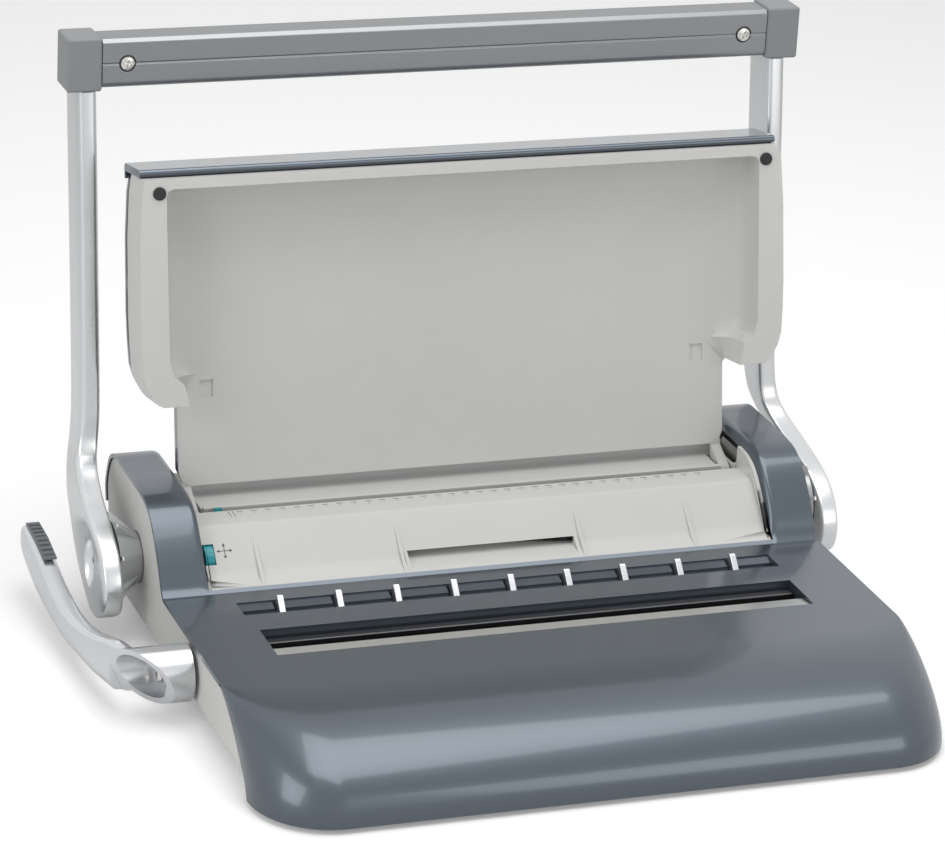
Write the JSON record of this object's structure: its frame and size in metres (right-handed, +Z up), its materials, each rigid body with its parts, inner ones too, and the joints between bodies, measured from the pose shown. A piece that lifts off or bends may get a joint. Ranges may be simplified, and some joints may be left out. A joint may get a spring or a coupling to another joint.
{
  "type": "wire binding machine",
  "caption": "Desk punch and wire closer: full-width fold-down handle, tilting paper rest, wire hooks, closing slot with side lever, edge guide wheel and rear chip drawer.",
  "frame": {"origin": "centre of the bounding box's bottom, on the table under the feet, with the handle up and the paper rest open", "axes": "+X towards the machine's right hand side seen from its front, +Y to its rear, +Z up; the closing slot and the wire hooks run along X"},
  "size_m": [0.4712, 0.3788, 0.3277],
  "materials": {
    "anodised_bar": "satin grey anodised extrusion",
    "black_rubber": "black rubber",
    "cap_grey": "matte grey moulding",
    "grip_grey": "dark grey moulding",
    "hood_paint": "glossy blue-grey metallic paint",
    "moulded_beige": "light warm grey moulding, satin",
    "plain_steel": "plain steel, brushed where it shows",
    "silver_paint": "bright silver paint over a cast channel",
    "silver_plastic": "silver coloured moulding",
    "teal_plastic": "teal moulding"
  },
  "bodies": {
    "base": {"hood": "hood_paint", "wire_hooks": "silver_plastic", "base_tray": "moulded_beige", "foot_front_left": "black_rubber", "foot_front_right": "black_rubber", "foot_rear_left": "black_rubber", "foot_rear_right": "black_rubber", "fascia": "moulded_beige", "rear_cover": "moulded_beige", "punch_frame": "plain_steel", "side_cover_left": "moulded_beige", "side_cover_right": "moulded_beige", "side_frame_left": "plain_steel", "side_frame_right": "plain_steel", "closer_anvil": "plain_steel", "closer_bed": "plain_steel"},
    "handle": {"arm_left": "silver_paint", "arm_right": "silver_paint", "hub_left": "silver_plastic", "hub_right": "silver_plastic", "hub_screw_left": "plain_steel", "hub_screw_right": "plain_steel", "drive_shaft_left": "plain_steel", "drive_shaft_right": "plain_steel", "grip_bar": "anodised_bar", "end_cap_left": "cap_grey", "end_cap_right": "cap_grey", "bar_screw_left": "plain_steel", "bar_screw_right": "plain_steel"},
    "punch": {"punch_comb": "plain_steel"},
    "closer": {"closer_lever": "silver_plastic", "lever_pad": "grip_grey", "closer_shaft": "plain_steel", "closer_screw": "plain_steel"},
    "jaw": {"closer_jaw": "plain_steel"},
    "paper_rest": {"lid_tray": "moulded_beige", "lid_shell": "hood_paint", "lid_pin_left": "plain_steel", "lid_pin_right": "plain_steel", "bumper_left": "black_rubber", "bumper_right": "black_rubber"},
    "wheel": {"guide_wheel": "teal_plastic"},
    "guide": {"edge_guide": "teal_plastic"},
    "drawer": {"chip_drawer": "grip_grey"}
  },
  "joints": [
    {"name": "handle_pivot", "type": "hinge", "parent": "base", "child": "handle", "pos_m": [0.0117, 0.08258, 0.046], "axis": [1, 0, 0], "range_deg": [0, 90]},
    {"name": "punch_slide", "type": "slide", "parent": "base", "child": "punch", "axis": [0, -0.9863, 0.165], "range_m": [0, 0.0118]},
    {"name": "closer_pivot", "type": "hinge", "parent": "base", "child": "closer", "pos_m": [0.0117, -0.03442, 0.027], "axis": [1, 0, 0], "range_deg": [0, 100]},
    {"name": "jaw_slide", "type": "slide", "parent": "base", "child": "jaw", "axis": [0, -1, 0], "range_m": [0, 0.008]},
    {"name": "rest_hinge", "type": "hinge", "parent": "base", "child": "paper_rest", "pos_m": [0.0117, 0.09058, 0.065], "axis": [1, 0, 0], "range_deg": [0, 99.5]},
    {"name": "wheel_spin", "type": "hinge", "parent": "base", "child": "wheel", "pos_m": [0.0117, 0.05011, 0.05397], "axis": [1, 0, 0], "range_deg": [-360, 360]},
    {"name": "guide_slide", "type": "slide", "parent": "base", "child": "guide", "axis": [1, 0, 0], "range_m": [-0.00501, 0.00501]},
    {"name": "drawer_slide", "type": "slide", "parent": "base", "child": "drawer", "axis": [0, 1, 0], "range_m": [0, 0.07]}
  ],
  "couplings": [
    {"joint": "punch_slide", "follows": "handle_pivot", "m_per_rad": 0.0075},
    {"joint": "jaw_slide", "follows": "closer_pivot", "m_per_rad": 0.00458},
    {"joint": "guide_slide", "follows": "wheel_spin", "m_per_rad": 0.00079577}
  ]
}
